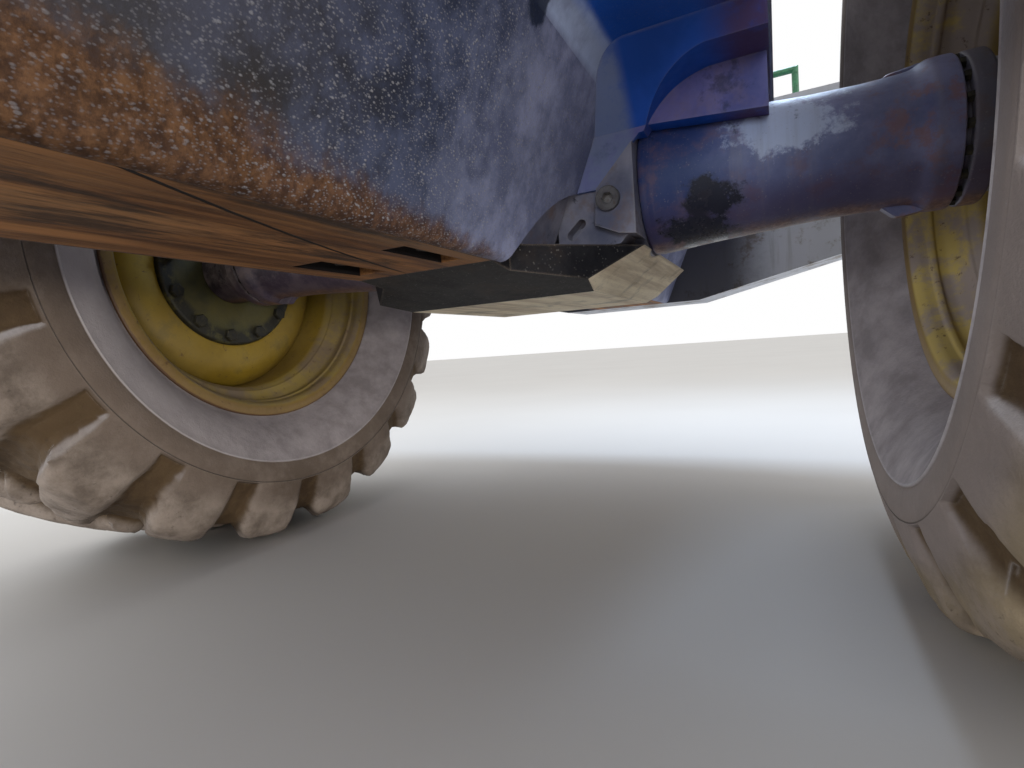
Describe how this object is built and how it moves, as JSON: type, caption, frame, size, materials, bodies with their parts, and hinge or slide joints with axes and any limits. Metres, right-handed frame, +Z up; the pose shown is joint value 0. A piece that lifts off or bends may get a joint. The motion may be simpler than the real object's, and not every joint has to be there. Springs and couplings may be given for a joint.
{
  "type": "harvester wheel axle with frame section",
  "caption": "Driven axle with two lugged forestry wheels under the armoured V-bottomed frame section that carries it, with a round hitch flange and a tail box.",
  "frame": {"origin": "centre of the hitch ring's front face", "axes": "+Y along the machine away from the hitch towards the tail, +X across it to the right, +Z up; the ground is 950 mm below the origin"},
  "size_m": [2.892, 3.23, 1.6394],
  "materials": {
    "hull_paint": "satin",
    "belly_steel": "matte",
    "guard_steel": "satin",
    "axle_metal": "satin",
    "bare_steel": "satin",
    "bolt_steel": "matte",
    "mount_rubber": "matte",
    "tail_paint": "satin",
    "rail_paint": "gloss",
    "rim_paint": "satin",
    "hub_paint": "matte",
    "tyre": "matte"
  },
  "bodies": {
    "frame": {"hitch_ring": "bare_steel", "front_bulkhead": "hull_paint", "hull_left": "hull_paint", "hull_right": "hull_paint", "belly_plate_front": "belly_steel", "belly_plate_rear": "belly_steel", "belly_strap": "belly_steel", "crossmember_front": "hull_paint", "crossmember_middle": "hull_paint", "crossmember_rear": "hull_paint", "engine_mounts_front": "mount_rubber", "engine_mounts_rear": "mount_rubber", "cradle_plate_left": "hull_paint", "cradle_plate_right": "hull_paint", "axle_housing": "axle_metal", "level_plug": "bare_steel", "axle_tube_left": "axle_metal", "axle_tube_right": "axle_metal", "hub_carrier_left": "axle_metal", "hub_carrier_right": "axle_metal", "axle_saddle_left": "hull_paint", "axle_saddle_right": "hull_paint", "axle_guard": "guard_steel", "tail_box": "tail_paint", "tail_rail": "rail_paint"},
    "input": {"input_flange": "bare_steel"},
    "wheel_left": {"rim_left": "rim_paint", "hub_left": "hub_paint", "hub_cover_left": "hub_paint", "hub_bolts_left": "bolt_steel", "wheel_nuts_left": "bolt_steel", "tyre_left": "tyre"},
    "wheel_right": {"rim_right": "rim_paint", "hub_right": "hub_paint", "hub_cover_right": "hub_paint", "hub_bolts_right": "bolt_steel", "wheel_nuts_right": "bolt_steel", "tyre_right": "tyre"}
  },
  "joints": [
    {"name": "wheel_left_spin", "type": "hinge", "parent": "frame", "child": "wheel_left", "pos_m": [-1.09, 1.85, -0.1275], "axis": [1, 0, 0], "continuous": true},
    {"name": "wheel_right_spin", "type": "hinge", "parent": "frame", "child": "wheel_right", "pos_m": [1.09, 1.85, -0.1275], "axis": [1, 0, 0], "continuous": true},
    {"name": "input_flange_spin", "type": "hinge", "parent": "frame", "child": "input", "pos_m": [0, 1.496, -0.1275], "axis": [0, 1, 0], "continuous": true}
  ]
}
